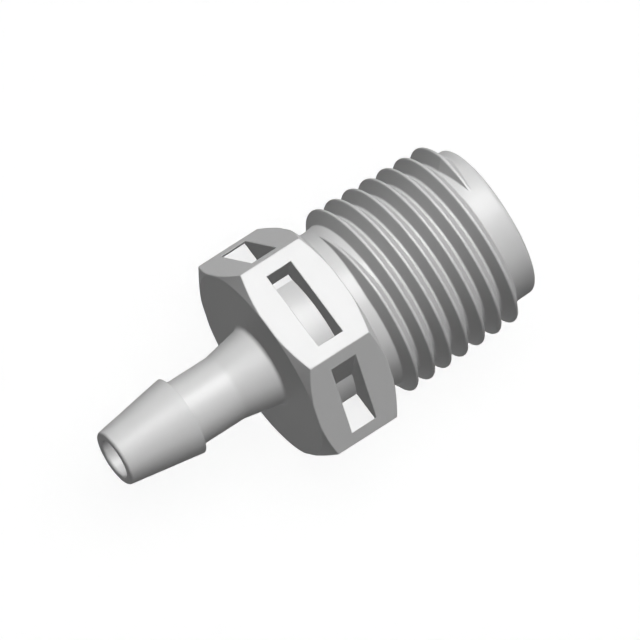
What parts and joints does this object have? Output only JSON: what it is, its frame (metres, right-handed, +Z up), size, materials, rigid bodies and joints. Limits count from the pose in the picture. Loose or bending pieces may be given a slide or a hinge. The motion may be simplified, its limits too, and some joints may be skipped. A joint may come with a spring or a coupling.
{
  "type": "hose barb fitting",
  "caption": "Moulded plastic straight fitting: single hose barb, hexagon with coring pockets, and tapered male pipe thread, with a through bore.",
  "frame": {"origin": "under the middle of the length, on the surface that the bottom flat of the hexagon lies on", "axes": "+X along the bore towards the threaded nose, +Z up out of the top flat of the hexagon"},
  "size_m": [0.0312, 0.0166, 0.0143],
  "materials": {
    "body": "as moulded, smooth and matt, natural off-white"
  },
  "bodies": {
    "root": {"fitting_body": "body"}
  },
  "joints": []
}
